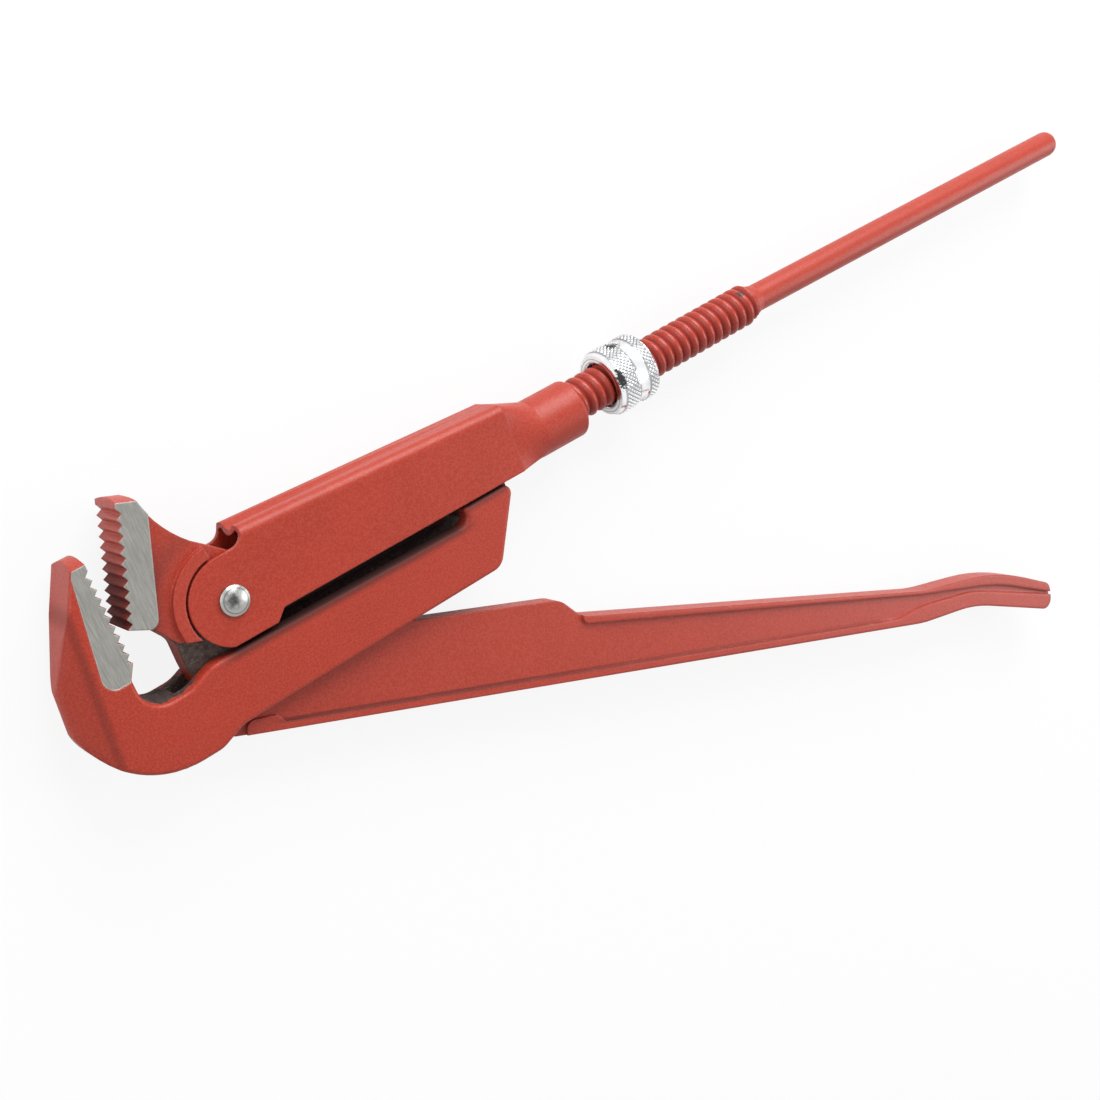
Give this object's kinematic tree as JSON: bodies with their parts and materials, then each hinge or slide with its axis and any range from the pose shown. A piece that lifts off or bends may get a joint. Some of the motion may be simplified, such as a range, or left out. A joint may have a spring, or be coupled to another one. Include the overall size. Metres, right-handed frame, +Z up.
{
  "type": "pipe wrench",
  "caption": "Adjustable pipe wrench with toothed jaws square to a threaded spindle, sliding sleeve, knurled setting nut and two squeeze handles.",
  "frame": {"origin": "middle of the wrench's outline, on the surface that it lies on", "axes": "+X along the spindle from the jaws towards the handles, +Y from the loose handle towards the sleeve's roof, +Z up, out of the wrench's side"},
  "size_m": [0.4326, 0.2138, 0.023],
  "materials": {
    "hook_paint": "satin red paint on forged steel, sides of the jaw ground bare",
    "leg_paint": "satin red paint on forged steel, sides of the jaw ground bare",
    "sleeve_paint": "satin red paint on pressed steel",
    "plated_steel": "bright plated steel, knurled bands",
    "rivet_steel": "bright riveted steel"
  },
  "bodies": {
    "hook_leg": {"hook_leg": "hook_paint"},
    "sleeve": {"sleeve": "sleeve_paint", "pivot_rivet": "rivet_steel"},
    "moving_leg": {"moving_leg": "leg_paint"},
    "adjusting_nut": {"adjusting_nut": "plated_steel"}
  },
  "joints": [
    {"name": "sleeve_slide", "type": "slide", "parent": "hook_leg", "child": "sleeve", "axis": [1, 0, 0], "range_m": [-0.0015, 0.052]},
    {"name": "leg_pivot", "type": "hinge", "parent": "sleeve", "child": "moving_leg", "pos_m": [-0.16164, 0.06666, 0.0115], "axis": [0, 0, 1], "range_deg": [-4, 20]},
    {"name": "nut_turn", "type": "hinge", "parent": "sleeve", "child": "adjusting_nut", "pos_m": [-0.00964, 0.06566, 0.0115], "axis": [1, 0, 0], "range_deg": [-150, 5000]}
  ],
  "couplings": [
    {"joint": "nut_turn", "follows": "sleeve_slide", "rad_per_m": 1675.5}
  ]
}
